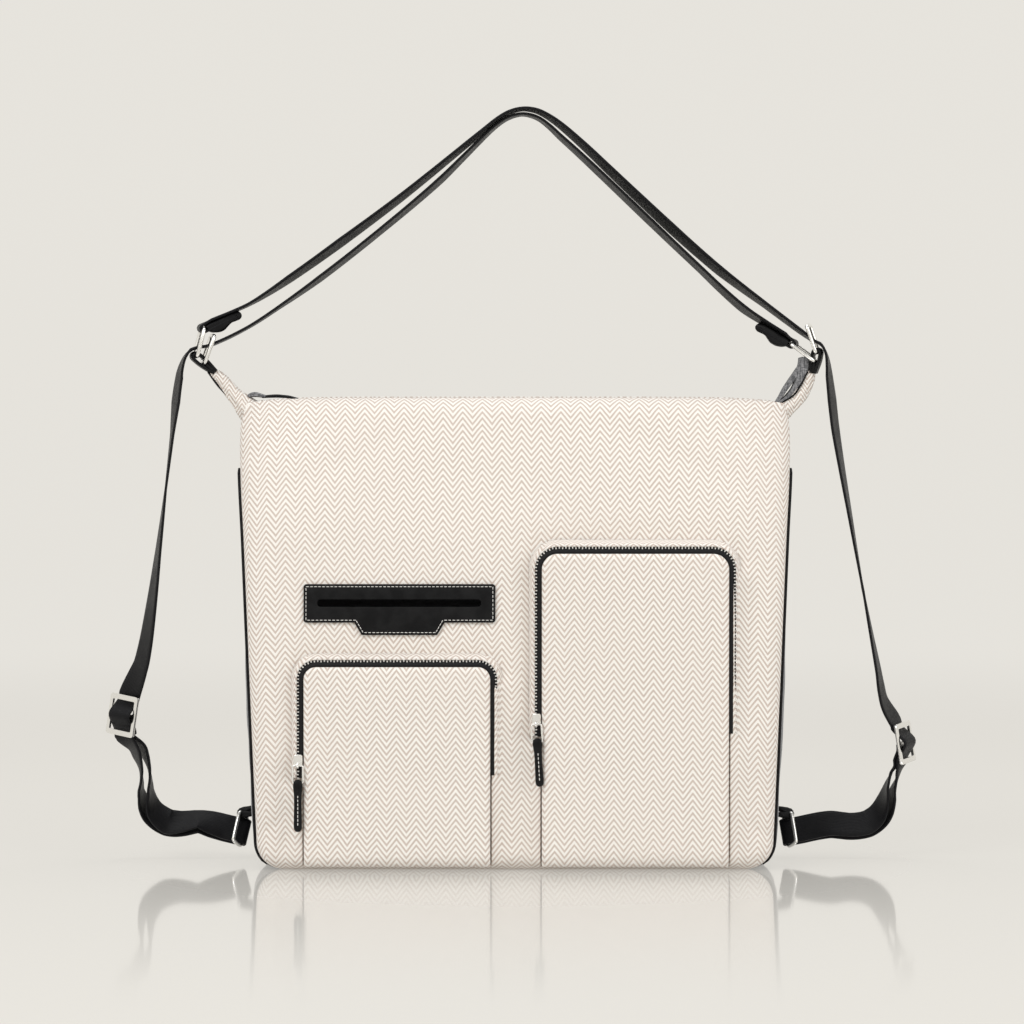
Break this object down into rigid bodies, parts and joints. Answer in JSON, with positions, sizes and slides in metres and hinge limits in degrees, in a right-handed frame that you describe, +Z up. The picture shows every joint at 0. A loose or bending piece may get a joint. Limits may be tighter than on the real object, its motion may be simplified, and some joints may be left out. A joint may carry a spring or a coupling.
{
  "type": "convertible backpack",
  "caption": "Slim herringbone-cloth convertible backpack with an open mouth, zipped front pockets, a slotted leather patch and long webbing straps raised as a handle.",
  "frame": {"origin": "middle of the base, on the surface that the bag stands on", "axes": "+X to the right as seen from the front, +Y to the back, +Z up; the front pockets face -Y"},
  "size_m": [0.576, 0.1369, 0.5331],
  "materials": {
    "herringbone_cloth": "woven off-white and beige herringbone, matt",
    "grey_heather_cloth": "grey melange cloth, matt",
    "black_cloth": "black zip tape, matt",
    "black_webbing": "smooth satin webbing",
    "black_leather": "fine-grained leather, satin",
    "nickel": "satin nickel",
    "nickel_teeth": "bright nickel zip teeth"
  },
  "bodies": {
    "bag": {"front_panel": "herringbone_cloth", "back_panel": "herringbone_cloth", "left_gusset": "grey_heather_cloth", "right_gusset": "grey_heather_cloth", "base_panel": "herringbone_cloth", "front_left_piping": "black_leather", "front_right_piping": "black_leather", "back_left_piping": "black_leather", "back_right_piping": "black_leather", "mouth_tape_front": "black_cloth", "mouth_tape_back": "black_cloth", "slot_patch": "black_leather", "small_pocket": "herringbone_cloth", "small_zip_tape": "black_cloth", "small_zip_chain": "nickel_teeth", "small_zip_slider": "nickel", "tall_pocket": "herringbone_cloth", "tall_zip_tape": "black_cloth", "tall_zip_chain": "nickel_teeth", "tall_zip_slider": "nickel", "left_ear": "herringbone_cloth", "left_ear_loop": "black_leather", "left_tab_ring": "nickel", "left_pass_ring": "nickel", "right_ear": "herringbone_cloth", "right_ear_loop": "black_leather", "right_tab_ring": "nickel", "right_pass_ring": "nickel", "strap_a": "black_webbing", "strap_a_tab": "black_leather", "right_strap_slider": "nickel", "right_lower_ring": "nickel", "right_lower_loop": "black_leather", "strap_b": "black_webbing", "strap_b_tab": "black_leather", "left_strap_slider": "nickel", "left_lower_ring": "nickel", "left_lower_loop": "black_leather"},
    "small_zip_pull": {"small_pull_ring": "nickel", "small_pull": "black_leather"},
    "tall_zip_pull": {"tall_pull_ring": "nickel", "tall_pull": "black_leather"}
  },
  "joints": [
    {"name": "small_pull_swing", "type": "hinge", "parent": "bag", "child": "small_zip_pull", "pos_m": [-0.1506, -0.0766, 0.0752], "axis": [-1, 0, 0], "range_deg": [0, 140]},
    {"name": "tall_pull_swing", "type": "hinge", "parent": "bag", "child": "tall_zip_pull", "pos_m": [0.0147, -0.0766, 0.1038], "axis": [-0.9982, 0, -0.06], "range_deg": [0, 140]}
  ]
}
